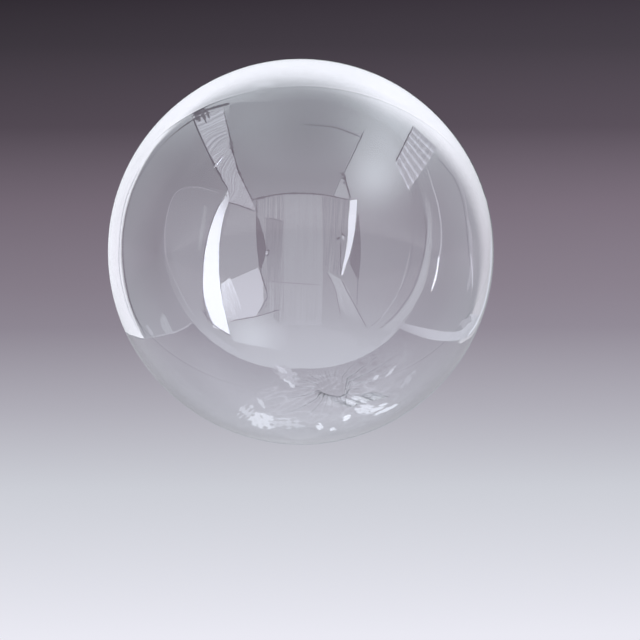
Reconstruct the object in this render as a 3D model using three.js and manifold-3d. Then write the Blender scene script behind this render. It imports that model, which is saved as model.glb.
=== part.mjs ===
// A clear bubble balloon, filled and lying on a table. Millimetres, +Z up.
// The origin is the middle of the small flat spot that the balloon rests on, and the side that
// faces -Y is the front. The film is one welded piece: the ball, the gathered neck low at the
// back, and the flat filling tail that lies on the table behind it.
import * as THREE from 'three';
import { mergeVertices } from 'three/addons/utils/BufferGeometryUtils.js';
import Module from 'manifold-3d';

// The ball and the flat spot under it.
const ballDiameter = 450;
const restRadius = 30;

// The neck points down and back: its lean from straight down, and its heading from +Y towards +X.
const neckLean = THREE.MathUtils.degToRad( 27 );
const neckHeading = THREE.MathUtils.degToRad( 23 );
const gatherWidth = 40;
const gatherThickness = 26;
const gatherHeight = 6;
const gatherBuried = 14;
const gatherPleats = 10;
const gatherPleatDepth = 1.4;

// The puckers that run out from the neck over the ball.
const puckerCount = 18;
const puckerDepth = 6;
const puckerReach = THREE.MathUtils.degToRad( 31 );
const neckDimple = 6;
const dimpleReach = THREE.MathUtils.degToRad( 10 );

// The flat tail: two layers of film, with a square cut end.
const tailLength = 92;
const tailWidth = 30;
const tailThickness = 1.6;
const tailHeading = THREE.MathUtils.degToRad( 50 );
const bendReach = 22;
const tailRipple = 2.2;
const rippleCount = 2;
const flatEnd = 24;

// How finely the surfaces are cut into facets.
const ballSegments = 88;
const fineRings = 18;
const coarseRings = 21;
const fineZone = THREE.MathUtils.degToRad( 36 );
const tailSides = 28;
const tailSteps = 38;

const radius = ballDiameter / 2;
const centreHeight = Math.sqrt( radius * radius - restRadius * restRadius );
const centre = new THREE.Vector3( 0, 0, centreHeight );
const neckAxis = directionOf( neckHeading, neckLean );

const wasm = await Module();
wasm.setup();

// The unit vector that leans from straight down by one angle, towards a heading from +Y to +X.
function directionOf( heading, lean ) {

	return new THREE.Vector3(
		Math.sin( lean ) * Math.sin( heading ),
		Math.sin( lean ) * Math.cos( heading ),
		- Math.cos( lean )
	);

}

// The same geometry with one vertex at each place, so that it is one closed skin.
function welded( geometry ) {

	geometry.deleteAttribute( 'normal' );
	geometry.deleteAttribute( 'uv' );
	return mergeVertices( geometry, 1e-4 );

}

// A closed skin as a solid that can be joined and cut.
function solidOf( skin ) {

	return new wasm.Manifold( new wasm.Mesh( {
		numProp: 3,
		vertProperties: new Float32Array( skin.attributes.position.array ),
		triVerts: new Uint32Array( skin.index.array )
	} ) );

}

// The solid back as a geometry.
function geometryOf( solid ) {

	const mesh = solid.getMesh();
	const geometry = new THREE.BufferGeometry();
	geometry.setAttribute( 'position', new THREE.BufferAttribute( mesh.vertProperties, 3 ) );
	geometry.setIndex( new THREE.BufferAttribute( mesh.triVerts, 1 ) );
	geometry.computeVertexNormals();
	return geometry;

}

// Moves every vertex of a skin to where a function puts it.
function reshape( skin, place ) {

	const position = skin.attributes.position;
	const point = new THREE.Vector3();
	for ( let i = 0; i < position.count; i ++ ) {

		point.fromBufferAttribute( position, i );
		place( point );
		position.setXYZ( i, point.x, point.y, point.z );

	}

	return skin;

}

// How far the film is drawn in at an angle from the neck, at a turn round it. Narrow grooves run
// out between broad folds, each to its own length, and a shallow dimple lies round the neck. The
// grooves die out before the spot that the ball rests on.
function drawnIn( angle, turn ) {

	const reach = puckerReach * ( 0.78 + 0.2 * Math.cos( 2 * turn ) + 0.14 * Math.sin( 5 * turn + 1 ) );
	const fade = 1 - THREE.MathUtils.smoothstep( angle, 0.1 * reach, reach );
	const groove = Math.pow( 0.5 + 0.5 * Math.cos( puckerCount * turn + 1.7 * Math.sin( 3 * turn ) ), 2 );
	const height = 0.8 + 0.2 * Math.sin( 4 * turn + 2 );
	const dimple = neckDimple * Math.exp( - Math.pow( angle / dimpleReach, 2 ) * 2 );
	return dimple + puckerDepth * height * groove * fade;

}

// The ball: a profile turned round the neck's axis, with the puckers drawn in after it. Its rings
// lie closer together near the neck.
function makeBall() {

	const profile = [];
	const rings = fineRings + coarseRings;
	for ( let i = 0; i <= rings; i ++ ) {

		const fine = fineZone * Math.min( i / fineRings, 1 );
		const coarse = ( Math.PI - fineZone ) * Math.max( ( i - fineRings ) / coarseRings, 0 );
		const angle = fine + coarse;
		const across = i === 0 || i === rings ? 0 : radius * Math.sin( angle );
		profile.push( new THREE.Vector2( across, - radius * Math.cos( angle ) ) );

	}

	const turned = welded( new THREE.LatheGeometry( profile, ballSegments ) );
	const down = new THREE.Vector3( 0, - 1, 0 );
	const towardsNeck = new THREE.Quaternion().setFromUnitVectors( down, neckAxis );
	return reshape( turned, ( point ) => {

		const angle = point.angleTo( down );
		const turn = Math.atan2( point.z, point.x );
		const clear = THREE.MathUtils.smoothstep( restGap( point, towardsNeck ), 0, restRadius );
		point.setLength( radius - clear * drawnIn( angle, turn ) );
		point.applyQuaternion( towardsNeck ).add( centre );

	} );

}

// How far outside the resting spot a point of the ball lies, seen from above.
function restGap( point, towardsNeck ) {

	const placed = point.clone().applyQuaternion( towardsNeck );
	const beside = Math.hypot( placed.x, placed.y );
	return placed.z > 0 ? radius : beside - 1.1 * restRadius;

}

// The line that the neck and tail follow: straight out of the ball, over, and along the table.
function tailLine() {

	const along = headed( tailHeading );
	const root = centre.clone().addScaledVector( neckAxis, radius - gatherBuried );
	const leave = centre.clone().addScaledVector( neckAxis, radius + gatherHeight );
	const touch = leave.clone().addScaledVector( along, bendReach ).setZ( tailThickness / 2 );
	const end = touch.clone().addScaledVector( along, tailLength - gatherHeight - 1.2 * bendReach );
	const line = new THREE.CurvePath();
	line.add( new THREE.LineCurve3( root, leave ) );
	line.add( new THREE.CubicBezierCurve3(
		leave,
		leave.clone().addScaledVector( neckAxis, bendReach / 2 ),
		touch.clone().addScaledVector( along, - bendReach / 2 ),
		touch
	) );
	line.add( new THREE.LineCurve3( touch, end ) );
	return line;

}

// The level unit vector with a heading from +Y towards +X.
function headed( heading ) {

	return new THREE.Vector3( Math.sin( heading ), Math.cos( heading ), 0 );

}

// Pushes a sine or cosine outwards and stops it at 1, which turns a round section into a box.
function boxed( value, push ) {

	return THREE.MathUtils.clamp( push * value, - 1, 1 );

}

// The gathered neck and the tail: a closed round tube drawn along the line, pressed flat as it
// goes. Each section starts round, thick and pleated inside the ball and ends as the flat strip.
// The tail ripples gently on the table, and its sealed end lies flat.
function makeTail() {

	const line = tailLine();
	const [ straight, bend ] = line.getCurveLengths().map( ( length ) => length / line.getLength() );
	const rippled = 1 - flatEnd / line.getLength() - bend;
	const tube = welded( new THREE.CylinderGeometry( 1, 1, 1, tailSides, tailSteps ) );
	return reshape( tube, ( point ) => {

		const t = Math.pow( THREE.MathUtils.clamp( 0.5 - point.y, 0, 1 ), 1.25 );
		const spread = Math.hypot( point.x, point.z );
		const turn = Math.atan2( point.z, point.x );
		const flat = THREE.MathUtils.smoothstep( t, 0, 1.15 * straight );
		const narrow = THREE.MathUtils.smoothstep( t, 0, bend );
		const width = THREE.MathUtils.lerp( gatherWidth, tailWidth, narrow );
		const thickness = THREE.MathUtils.lerp( gatherThickness, tailThickness, Math.sqrt( flat ) );
		const push = THREE.MathUtils.lerp( 1, 1.35, flat );
		const pleat = gatherPleatDepth * ( 1 - flat ) * Math.cos( gatherPleats * turn );
		const lying = THREE.MathUtils.clamp( ( t - bend ) / rippled, 0, 1 );
		const ripple = tailRipple * Math.pow( Math.sin( rippleCount * Math.PI * lying ), 2 );
		const tangent = line.getTangentAt( t );
		const facing = THREE.MathUtils.lerp( neckHeading, tailHeading, narrow );
		const across = headed( facing + Math.PI / 2 );
		across.addScaledVector( tangent, - across.dot( tangent ) ).normalize();
		const normal = new THREE.Vector3().crossVectors( tangent, across );
		point.copy( line.getPointAt( t ) );
		point.addScaledVector( across, spread * boxed( Math.cos( turn ), push ) * ( width / 2 + pleat ) );
		point.addScaledVector( normal, spread * boxed( Math.sin( turn ), push ) * ( thickness / 2 + pleat / 2 ) );
		point.z = Math.max( point.z + ripple, 0 );

	} );

}

// Everything under the table's surface, to cut the resting spot flat.
function makeTable() {

	const side = 2 * ballDiameter;
	const block = new THREE.BoxGeometry( side, side, ballDiameter );
	return welded( block.translate( 0, 0, - ballDiameter / 2 ) );

}

const film = new THREE.MeshStandardMaterial( {
	color: 0xeceef4,
	roughness: 0.04,
	metalness: 0,
	transparent: true,
	opacity: 0.3
} );

const ball = solidOf( makeBall() ).subtract( solidOf( makeTable() ) );
const balloon = new THREE.Mesh( geometryOf( ball.add( solidOf( makeTail() ) ) ), film );
balloon.name = 'balloon';

const group = new THREE.Group();
group.add( balloon );

export default group;
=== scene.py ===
import math

import bpy
import numpy as np
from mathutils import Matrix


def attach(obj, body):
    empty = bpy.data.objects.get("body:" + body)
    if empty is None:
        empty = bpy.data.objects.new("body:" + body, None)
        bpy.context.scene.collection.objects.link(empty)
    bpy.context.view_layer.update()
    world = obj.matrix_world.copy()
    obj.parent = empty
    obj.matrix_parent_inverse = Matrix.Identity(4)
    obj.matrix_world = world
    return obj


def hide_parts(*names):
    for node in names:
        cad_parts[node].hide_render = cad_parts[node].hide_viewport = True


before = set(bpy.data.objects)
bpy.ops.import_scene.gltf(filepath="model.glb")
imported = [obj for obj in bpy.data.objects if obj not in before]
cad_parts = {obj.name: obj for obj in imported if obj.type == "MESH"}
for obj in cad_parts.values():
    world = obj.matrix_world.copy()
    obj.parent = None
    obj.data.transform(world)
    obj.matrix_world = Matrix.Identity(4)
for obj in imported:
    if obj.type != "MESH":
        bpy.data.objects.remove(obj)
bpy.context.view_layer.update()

scene = bpy.context.scene
scene.view_settings.view_transform = "Standard"


def unit(vector):
    # the same direction at length 1
    vector = np.asarray(vector, float)
    return vector / np.linalg.norm(vector, axis=-1, keepdims=True)


def smoothstep(value, low, high):
    # from 0 at the low value to 1 at the high one, eased as 3t^2 - 2t^3
    t = np.clip((value - low) / (high - low), 0.0, 1.0)
    return t * t * (3 - 2 * t)


def mix(a, b, share):
    # a share of the way from one value to another
    return a + (b - a) * share


def headed(heading):
    # the level unit vector with a heading from +Y towards +X
    return np.array([math.sin(heading), math.cos(heading), 0.0])


# The balloon's own sizes, the same as those of the solid.
balloon = {
    "radius": 0.225,
    "restRadius": 0.030,
    "neckLean": math.radians(27),
    "neckHeading": math.radians(23),
    "gatherWidth": 0.040,
    "gatherThickness": 0.026,
    "gatherHeight": 0.006,
    "gatherBuried": 0.014,
    "gatherPleats": 10,
    "gatherPleatDepth": 0.0014,
    "puckerCount": 18,
    "puckerDepth": 0.0038,
    "puckerReach": math.radians(31),
    "neckDimple": 0.006,
    "dimpleReach": math.radians(10),
    "tailLength": 0.092,
    "tailWidth": 0.030,
    "tailThickness": 0.0016,
    "tailHeading": math.radians(50),
    "bendReach": 0.022,
    "tailRipple": 0.0022,
    "rippleCount": 2,
    "flatEnd": 0.024,
}

ballRadius = balloon["radius"]
ballCentre = np.array([0.0, 0.0, math.sqrt(ballRadius**2 - balloon["restRadius"] ** 2)])
straightDown = np.array([0, 0, -1.0])
neckAxis = math.sin(balloon["neckLean"]) * headed(balloon["neckHeading"])
neckAxis = neckAxis + math.cos(balloon["neckLean"]) * straightDown

# The camera: how steeply it looks down, in degrees, how far off it stands, and where the ball
# sits in the square picture, in its pixels.
cameraSetup = {
    "elevation": 12.0,
    "distance": 1.7,
    "frameSide": 640,
    "ballColumn": 300.8,
    "ballRow": 252.8,
    "ballRadius": 193.3,
    "sensorWidth": 36.0,
    "clipStart": 0.01,
    "clipEnd": 100.0,
}


def makeCamera():
    # The ball's outline fixes the lens, and the camera looks a little below it and to its right.
    c = cameraSetup
    e = math.radians(c["elevation"])
    toCamera = np.array([0.0, -math.cos(e), math.sin(e)])
    spread = math.tan(math.asin(ballRadius / c["distance"]))
    focal = c["ballRadius"] / spread
    middle = c["frameSide"] / 2
    data = bpy.data.cameras.new("camera")
    data.sensor_width = c["sensorWidth"]
    data.lens = focal * c["sensorWidth"] / c["frameSide"]
    data.clip_start = c["clipStart"]
    data.clip_end = c["clipEnd"]
    camera = bpy.data.objects.new("camera", data)
    scene.collection.objects.link(camera)
    place = ballCentre + toCamera * c["distance"]
    pitch = e + math.atan((middle - c["ballRow"]) / focal)
    turn = math.atan((middle - c["ballColumn"]) / focal)
    camera.location = place
    camera.rotation_euler = (math.pi / 2 - pitch, 0.0, -turn)
    scene.camera = camera
    bpy.context.view_layer.update()
    print("camera stands at", np.round(place, 3), "lens", round(data.lens, 1))
    return place, np.array(camera.matrix_world.to_3x3()), focal


cameraPlace, cameraTurn, focalPixels = makeCamera()


def outlineMiddle():
    # The middle of the ball's outline: farther from the picture's middle than the ball's own
    # middle, by the square of the ball's radius over its distance.
    c = cameraSetup
    middle = c["frameSide"] / 2
    ball = np.array([c["ballColumn"], c["ballRow"]])
    return middle + (ball - middle) * (1 + (ballRadius / c["distance"]) ** 2)


discMiddle = outlineMiddle()
outermost = 0.9995       # how far out the ball still mirrors, as a share of its outline


def discShare(pixels):
    # how far out from the outline's middle some pixels lie, as a share of its radius
    return np.linalg.norm(pixels - discMiddle, axis=-1) / cameraSetup["ballRadius"]


def mirrored(pixels, distance):
    # The points that the front of the ball shows at some pixels by reflection, at a distance from
    # its middle: each sight line meets the sphere, turns about the normal there, and runs on.
    middle = cameraSetup["frameSide"] / 2
    column, row = pixels[..., 0], pixels[..., 1]
    sight = unit(np.stack([column - middle, middle - row, 0 * row - focalPixels], -1)) @ cameraTurn.T
    offset = cameraPlace - ballCentre
    along = sight @ offset
    reach = np.sqrt(np.maximum(along**2 - offset @ offset + ballRadius**2, 0.0))
    start = offset + sight * (-along - reach)[..., None]
    normal = unit(start)
    away = sight - 2 * np.sum(sight * normal, -1, keepdims=True) * normal
    ahead = np.sum(away * start, -1)
    onward = np.sqrt(ahead**2 - np.sum(start * start, -1) + distance**2) - ahead
    return ballCentre + start + away * onward[..., None]


def mirrorShare(pixels):
    # The share of the light that the film's outer face sends back at some pixels: Fresnel's law
    # for its bend of light, at the angle whose sine is the distance from the ball's middle.
    bending = filmDetail["bending"]
    sine = np.minimum(discShare(pixels), outermost)
    cosine = np.sqrt(1 - sine**2)
    inside = np.sqrt(bending**2 - sine**2)
    crossed = (cosine - inside) / (cosine + inside)
    level = (bending**2 * cosine - inside) / (bending**2 * cosine + inside)
    return (crossed**2 + level**2) / 2


# One closed film skin

# The film itself: how it bends light, its thickness as drawn, its weld line, its fine creases and
# waves, and how finely it is cut into rows and columns.
filmDetail = {
    "colour": (0.985, 0.987, 0.995),
    "bending": 1.55,
    "thickness": 0.0003,
    "skinDepth": 0.00042,                    # how far the outer wall lies inside the solid
    "seamHeading": math.radians(90.0),       # where the weld crosses the side, from +Y towards +X
    "seamHeight": 0.00006,
    "seamHalfWidth": math.radians(0.24),
    "besideSeam": (0.08, 0.2, 0.4, 0.9),     # degrees off the weld at which extra columns lie
    "ballColumns": 188,
    "farRows": 62,
    "nearRows": 66,
    "neckRows": 62,
    "nearZone": math.radians(36),
    "ringAngle": math.radians(6.2),
    "blendDepth": 0.007,                     # how deep in the ball the neck's first section lies
    "waveHeight": 0.00010,
    "waveLength": 0.16,
    "crumpleHeight": 0.0011,
    "crumpleReach": math.radians(25),
    "patchLength": 0.085,
    "foldLength": 0.026,
    "fineFoldLength": 0.012,
    "spokeCount": 41,
    "thinnest": 0.0002,                      # the least half thickness of the flat tail
    "sealLength": 0.006,                     # how much shorter the inner wall's tail is
    "tailWrinkle": 0.00035,
    "wrinkleLength": 0.014,
    "peelHeight": 0.00002,
    "peelStrength": 0.25,
    "peelScale": 60.0,
    "peelDetail": 1.5,
    "crinkleHeight": 0.0002,
    "crinkleFrom": 0.02,
    "crinkleTo": 0.16,
    "crinkleScale": 95.0,
    "crinkleDetail": 3.0,
}


def turnedAxes():
    # The two directions square to the neck's axis from which turns round it are counted: those
    # of a frame with its -Y axis swung onto the neck's axis by the shortest way.
    down = np.array([0.0, -1.0, 0.0])
    v = np.cross(down, neckAxis)
    cross = np.array([[0, -v[2], v[1]], [v[2], 0, -v[0]], [-v[1], v[0], 0]])
    swing = np.eye(3) + cross + cross @ cross / (1 + down @ neckAxis)
    return swing @ np.array([1.0, 0, 0]), swing @ np.array([0, 0, 1.0])


firstAxis, secondAxis = turnedAxes()
seamSide = headed(filmDetail["seamHeading"])
seamSide = unit(seamSide - (seamSide @ neckAxis) * neckAxis)
seamTurn = math.atan2(seamSide @ secondAxis, seamSide @ firstAxis)


def columnTurns():
    # Even turns round the neck, with extra ones close beside the two lines of the weld.
    even = np.arange(filmDetail["ballColumns"]) * 2 * np.pi / filmDetail["ballColumns"]
    beside = np.radians(filmDetail["besideSeam"])
    close = np.concatenate([-beside, beside])
    return np.sort(np.concatenate([even, close % (2 * np.pi), close + np.pi]))


def drawnIn(angle, turn):
    # How far the film is drawn in: narrow grooves run out from the neck between broad folds,
    # each to its own length, and a shallow dimple lies round the neck.
    reach = balloon["puckerReach"] * (0.78 + 0.2 * np.cos(2 * turn) + 0.14 * np.sin(5 * turn + 1))
    fade = 1 - smoothstep(angle, 0.1 * reach, reach)
    groove = (0.5 + 0.5 * np.cos(balloon["puckerCount"] * turn + 1.7 * np.sin(3 * turn))) ** 2
    height = 0.8 + 0.2 * np.sin(4 * turn + 2)
    dimple = balloon["neckDimple"] * np.exp(-2 * (angle / balloon["dimpleReach"]) ** 2)
    return dimple + balloon["puckerDepth"] * height * groove * fade


def ripples(place, waveLength, count, seed):
    # A smooth random relief, mostly between -1.5 and 1.5: a sum of plane waves in random
    # directions, with random phases, whose lengths lie round a chosen one.
    dice = np.random.default_rng(seed)
    heights = np.zeros(place.shape[:-1])
    for direction in unit(dice.normal(size=(count, 3))):
        number = 2 * np.pi / (waveLength * dice.uniform(0.7, 1.4))
        heights += np.sin(number * (place @ direction) + dice.uniform(0, 2 * np.pi))
    return heights / math.sqrt(count)


def creases(angle, turn, place):
    # Fine crumples where the film is bunched: sharp folds made of the size of a ripple, in
    # patches, with spokes close to the neck. They are strongest in a band round the neck and gone
    # before the clear part of the ball.
    d = filmDetail
    window = np.exp(-((angle / d["crumpleReach"]) ** 4)) * smoothstep(angle, 0.05, 0.2)
    patchy = 0.25 + 0.75 * smoothstep(ripples(place, d["patchLength"], count=6, seed=4), -0.3, 0.9)
    folds = np.abs(ripples(place, d["foldLength"], count=7, seed=7))
    folds = folds + 0.5 * np.abs(ripples(place, d["fineFoldLength"], count=7, seed=8))
    spokes = 0.2 * np.cos(d["spokeCount"] * turn + 3 * np.sin(2 * turn) + 9 * angle)
    return d["crumpleHeight"] * window * patchy * (folds + spokes * np.exp(-angle / 0.2))


def ballSurface(angle, turn, inset):
    # The ball: radius less the puckers, creases, slow waves and inset, with the weld's ridge.
    d = filmDetail
    around = np.cos(turn)[..., None] * firstAxis + np.sin(turn)[..., None] * secondAxis
    direction = np.sin(angle)[..., None] * around + np.cos(angle)[..., None] * neckAxis
    smooth = ballCentre + ballRadius * direction
    beside = np.hypot(smooth[..., 0], smooth[..., 1])
    low = np.where(smooth[..., 2] > ballCentre[2], ballRadius, beside - 1.1 * balloon["restRadius"])
    clear = smoothstep(low, 0.0, balloon["restRadius"])
    half = (turn - seamTurn) / 2
    fromSeam = np.minimum(np.abs(np.sin(half)), np.abs(np.cos(half))) * 2
    ridge = d["seamHeight"] * np.exp(-((fromSeam * np.sin(angle) / d["seamHalfWidth"]) ** 2))
    ridge *= smoothstep(angle, 0.1, 0.3) * smoothstep(np.pi - angle, 0.0, 0.02)
    relief = clear * (drawnIn(angle, turn) + creases(angle, turn, smooth))
    # three wave heights more keep the waves inside the solid
    relief += d["skinDepth"] + d["waveHeight"] * (3 + ripples(smooth, d["waveLength"], count=9, seed=2))
    # the weld stands out on the outer wall and in on the inner one
    side = 1.0 if inset == 0 else -1.0
    radius = ballRadius - relief - inset + side * ridge
    place = ballCentre + radius[..., None] * direction
    place[..., 2] = np.maximum(place[..., 2], inset)
    return place


def tailLine(t):
    # The neck's line: straight out of the ball, then a cubic bend, then straight on the floor.
    b = balloon
    along = headed(b["tailHeading"])
    root = ballCentre + neckAxis * (ballRadius - b["gatherBuried"])
    leave = ballCentre + neckAxis * (ballRadius + b["gatherHeight"])
    touch = leave + along * b["bendReach"]
    touch[2] = b["tailThickness"] / 2
    end = touch + along * (b["tailLength"] - b["gatherHeight"] - 1.2 * b["bendReach"])
    pull = b["bendReach"] / 2
    corners = [leave, leave + neckAxis * pull, touch - along * pull, touch]
    count = 200
    u = np.linspace(0, 1, count)[:, None]
    bend = (
        (1 - u) ** 3 * corners[0] + 3 * (1 - u) ** 2 * u * corners[1]
        + 3 * (1 - u) * u**2 * corners[2] + u**3 * corners[3]
    )
    points = np.concatenate([mix(root, leave, u[:-1]), bend[:-1], mix(touch, end, u)])
    steps = np.linalg.norm(np.diff(points, axis=0), axis=1)
    length = np.concatenate([[0], np.cumsum(steps)])
    straight = np.linalg.norm(leave - root) / length[-1]
    bent = length[2 * (count - 1)] / length[-1]

    def at(share):
        return np.stack([np.interp(share * length[-1], length, points[:, i]) for i in range(3)], -1)

    step = 0.004
    tangent = unit(at(np.minimum(t + step, 1)) - at(np.maximum(t - step, 0)))
    return at(t), tangent, straight, bent, length[-1]


def tailSurface(t, turn, inset):
    # The neck and tail: a round section drawn along the line and pressed flat as it goes, to a
    # lens with thin welded edges. It ripples on the floor, and its sealed end lies flat.
    b = balloon
    line, tangent, straight, bent, length = tailLine(t[:, 0])
    t = t + 0 * turn
    around = turn - seamTurn
    flat = smoothstep(t, 0, 1.15 * straight)
    narrow = smoothstep(t, 0, bent)
    width = mix(b["gatherWidth"], b["tailWidth"], narrow)
    thickness = mix(b["gatherThickness"], b["tailThickness"], np.sqrt(flat))
    pleat = b["gatherPleatDepth"] * (1 - flat) * np.cos(b["gatherPleats"] * around)
    across = np.cos(around)
    lens = np.sign(np.sin(around)) * (1 - across**4)
    up = mix(np.sin(around), lens, flat)
    facing = mix(b["neckHeading"], b["tailHeading"], narrow[:, 0]) + np.pi / 2
    side = np.stack([np.sin(facing), np.cos(facing), 0 * facing], -1)
    side = unit(side - tangent * np.sum(side * tangent, -1, keepdims=True))
    normal = np.cross(tangent, side)
    lying = np.clip((t - bent) / (1 - b["flatEnd"] / length - bent), 0, 1)
    ripple = b["tailRipple"] * np.sin(b["rippleCount"] * np.pi * lying) ** 2
    # the inner wall stops well short of the welded edges
    halfWidth = width / 2 + pleat - 4 * inset
    halfThickness = np.maximum(thickness / 2 + pleat / 2 - inset, filmDetail["thinnest"])
    place = (
        line[:, None, :]
        + side[:, None, :] * (across * halfWidth)[..., None]
        + normal[:, None, :] * (up * halfThickness)[..., None]
    )
    # wrinkles begin after the bend, end before the seal, and leave the edges smooth
    loose = smoothstep(t, bent, bent + 0.15) * (1 - smoothstep(t, 0.93, 0.97)) * (1 - across**2)
    wrinkle = np.abs(ripples(place, filmDetail["wrinkleLength"], count=6, seed=5)) * loose
    place[..., 2] = np.maximum(place[..., 2] + ripple + filmDetail["tailWrinkle"] * wrinkle, inset)
    return place


def filmSkin(inset):
    # One wall of the film as a grid of rows from the far pole to the tail's end: rings of the
    # ball first, then the neck's sections, blended into the ball over the first of them. The
    # inner wall ends before the outer one, where the tail is sealed.
    d = filmDetail
    turn = columnTurns() + seamTurn
    far = np.linspace(np.pi, d["nearZone"], d["farRows"], endpoint=False)[1:]
    near = np.linspace(d["nearZone"], d["ringAngle"], d["nearRows"])
    angle = np.concatenate([far, near])[:, None]
    ball = ballSurface(angle + 0 * turn, turn + 0 * angle, inset)
    _, _, straight, _, length = tailLine(np.array([0.0]))
    start = (balloon["gatherBuried"] - d["blendDepth"]) / length
    last = 1.0 if inset == 0 else 1 - d["sealLength"] / length
    t = mix(start, last, np.linspace(0, 1, d["neckRows"]) ** 1.25)[:, None]
    joined = smoothstep(t, start, straight * 1.05)[..., None]
    neck = mix(ball[-1:], tailSurface(t, turn, inset), joined)
    rows = np.concatenate([ball, neck[1:]])
    pole = ballCentre - (ballRadius - inset) * neckAxis
    return rows, pole, rows[-1].mean(0)


def addWall(rows, pole, end, flip, first):
    # Vertices and faces of one wall: quads between rows, and a fan at each end.
    count, columns = rows.shape[:2]
    vertices = np.concatenate([rows.reshape(-1, 3), [pole, end]])
    r = np.arange(count - 1)[:, None] * columns
    c = np.arange(columns)[None, :]
    n = (c + 1) % columns
    quads = np.stack([r + c, r + n, r + columns + n, r + columns + c], -1).reshape(-1, 4)
    top = np.stack([np.full(columns, count * columns), n[0], c[0]], -1)
    low = (count - 1) * columns
    bottom = np.stack([np.full(columns, count * columns + 1), low + c[0], low + n[0]], -1)
    faces = [q[::-1] if flip else q for q in (quads + first).tolist()]
    faces += [q[::-1] if flip else q for q in (np.concatenate([top, bottom]) + first).tolist()]
    return vertices, faces


def makeFilm():
    # Two closed walls, one inside the other and facing inwards, as a single mesh.
    outer = filmSkin(0.0)
    inner = filmSkin(filmDetail["thickness"])
    outerVertices, outerFaces = addWall(*outer, flip=False, first=0)
    innerVertices, innerFaces = addWall(*inner, flip=True, first=len(outerVertices))
    mesh = bpy.data.meshes.new("balloon_film")
    mesh.from_pydata(np.concatenate([outerVertices, innerVertices]).tolist(), [], outerFaces + innerFaces)
    mesh.shade_smooth()
    mesh.update()
    film = bpy.data.objects.new("balloon_film", mesh)
    scene.collection.objects.link(film)
    triangles = sum(len(face) - 2 for face in outerFaces + innerFaces)
    print("film has", triangles, "triangles")
    return film


def fill(node, *values):
    # Links or sets a node's first sockets in turn, and leaves one as it is where the value is None.
    for socket, value in zip(node.inputs, values):
        if hasattr(value, "links"):
            node.id_data.links.new(value, socket)
        elif value is not None:
            socket.default_value = value
    return node


def nodeTools(tree):
    # Two tools for one node tree: node adds a node and fills its sockets, and span maps a value
    # from one range onto another, eased at both ends unless told otherwise.
    def node(kind, operation=None, *values):
        made = tree.nodes.new("ShaderNode" + kind)
        if operation:
            made.operation = operation
        return fill(made, *values)

    def span(source, fromMin, fromMax, toMin, toMax, eased=True):
        made = node("MapRange", None, source, fromMin, fromMax, toMin, toMax)
        if eased:
            made.interpolation_type = "SMOOTHSTEP"
        return made.outputs[0]

    return node, span


def filmMaterial():
    # Clear stretch film: see-through and glossy, with a faint orange peel all over, and fine
    # crinkles that fade out with the distance from the neck.
    d = filmDetail
    material = bpy.data.materials.new("clear_film")
    material.use_nodes = True
    tree = material.node_tree
    node, span = nodeTools(tree)
    shader = tree.nodes["Principled BSDF"]
    shader.inputs["Base Color"].default_value = (*d["colour"], 1)
    shader.inputs["Roughness"].default_value = 0.0
    shader.inputs["IOR"].default_value = d["bending"]
    shader.inputs["Transmission Weight"].default_value = 1.0
    place = node("TexCoord").outputs["Object"]

    def bump(strength, height, scale, detail):
        cloud = node("TexNoise", None, place, None, scale, detail)
        made = node("Bump", None, strength, height)
        tree.links.new(cloud.outputs["Fac"], made.inputs["Height"])
        return made

    neckPlace = tuple(ballCentre + neckAxis * ballRadius)
    apart = node("VectorMath", "DISTANCE", place, neckPlace).outputs["Value"]
    near = span(apart, d["crinkleFrom"], d["crinkleTo"], 1.0, 0.0)
    peel = bump(d["peelStrength"], d["peelHeight"], d["peelScale"], d["peelDetail"])
    crinkle = bump(near, d["crinkleHeight"], d["crinkleScale"], d["crinkleDetail"])
    tree.links.new(peel.outputs["Normal"], crinkle.inputs["Normal"])
    tree.links.new(crinkle.outputs["Normal"], shader.inputs["Normal"])
    return material


film = makeFilm()
film.data.materials.append(filmMaterial())
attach(film, "root")
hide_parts("balloon")

# The set

# The floor: paper whose glow paints the light falling off, from pale in front to dark plum grey far
# behind. Each tone is how far behind the ball it lies and its screen colour. In front of the start it
# dims evenly.
floorLook = {
    "radius": 20.0,
    "sides": 96,
    "drop": 0.0004,          # how far it lies under the film
    "nearest": 0.3,
    "farthest": 20.0,
    "start": -0.9,
    "tones": [
        (-0.53, (234, 234, 243)),
        (-0.18, (204, 206, 214)),
        (0.10, (176, 174, 184)),
        (0.50, (144, 137, 149)),
        (0.77, (136, 127, 139)),
        (1.56, (120, 109, 121)),
        (3.00, (86, 77, 87)),
        (6.80, (66, 60, 68)),
        (14.0, (56, 50, 58)),
    ],
    "lightSide": 0.8,        # far off, how much more light comes from the right
    "lightFrom": 0.26,
    "lightReach": 0.55,
    "asideFrom": 1.0,        # the least distance from the camera and the steepest slope aside
    "asideMost": 0.3,
    "startTone": 0.78,       # its light at the start, and where the dimming in front ends
    "frontTone": 0.45,
    "frontReach": 3.0,
}


def linear(colour):
    # screen numbers from 0 to 255 as light
    c = np.array(colour) / 255
    return tuple(np.where(c <= 0.04045, c / 12.92, ((c + 0.055) / 1.055) ** 2.4)) + (1.0,)


def emptyMaterial(name):
    # a material with no nodes yet, and the tools to fill it
    material = bpy.data.materials.new(name)
    material.use_nodes = True
    material.node_tree.nodes.clear()
    return material, *nodeTools(material.node_tree)


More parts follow.
